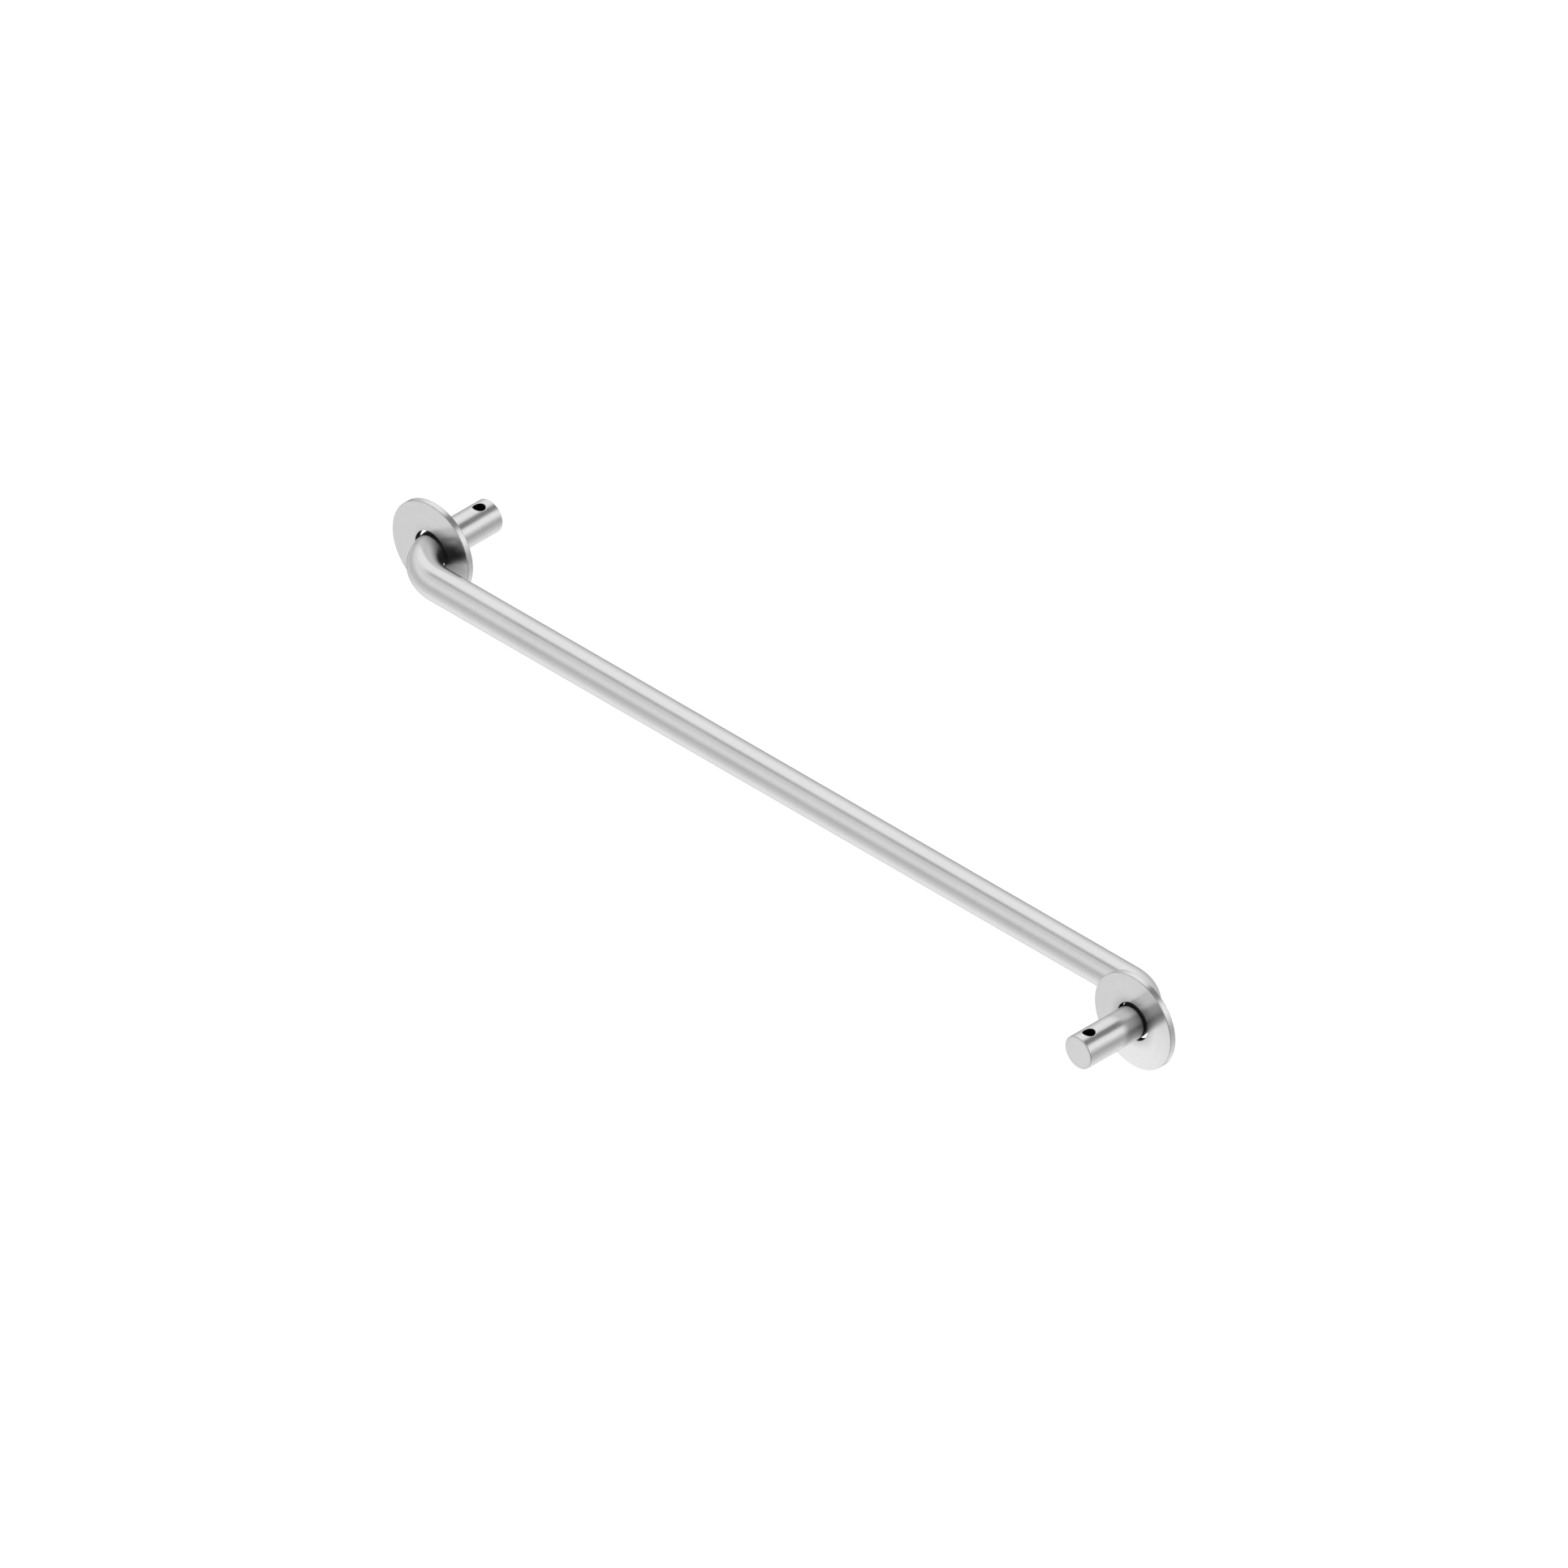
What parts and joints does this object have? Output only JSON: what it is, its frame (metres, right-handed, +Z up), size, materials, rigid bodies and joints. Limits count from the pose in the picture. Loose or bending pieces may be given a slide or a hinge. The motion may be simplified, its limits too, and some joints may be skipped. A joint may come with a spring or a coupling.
{
  "type": "grab rail",
  "caption": "Round metal grab rail bent into a Z in plan, with closed, cross-drilled legs pointing opposite ways and a loose round flange on each leg.",
  "frame": {"origin": "middle of the rail, on the tube's axis, which is also the centre of the whole object's box", "axes": "+X along the rail from the left leg to the right leg, +Y the way the left leg points, +Z up, along the pin holes"},
  "size_m": [0.715, 0.1468, 0.065],
  "materials": {
    "tube_steel": "satin stainless steel, fine grain round the tube",
    "cap_steel": "satin stainless steel, ground flat",
    "flange_steel": "satin stainless steel, fine turned grain on the faces"
  },
  "bodies": {
    "rail": {"rail_tube": "tube_steel", "left_end_cap": "cap_steel", "right_end_cap": "cap_steel"},
    "left_flange": {"left_flange": "flange_steel"},
    "right_flange": {"right_flange": "flange_steel"}
  },
  "joints": [
    {"name": "left_flange_slide", "type": "slide", "parent": "rail", "child": "left_flange", "axis": [0, 1, 0], "range_m": [0, 0.033]},
    {"name": "right_flange_slide", "type": "slide", "parent": "rail", "child": "right_flange", "axis": [0, -1, 0], "range_m": [0, 0.033]}
  ]
}
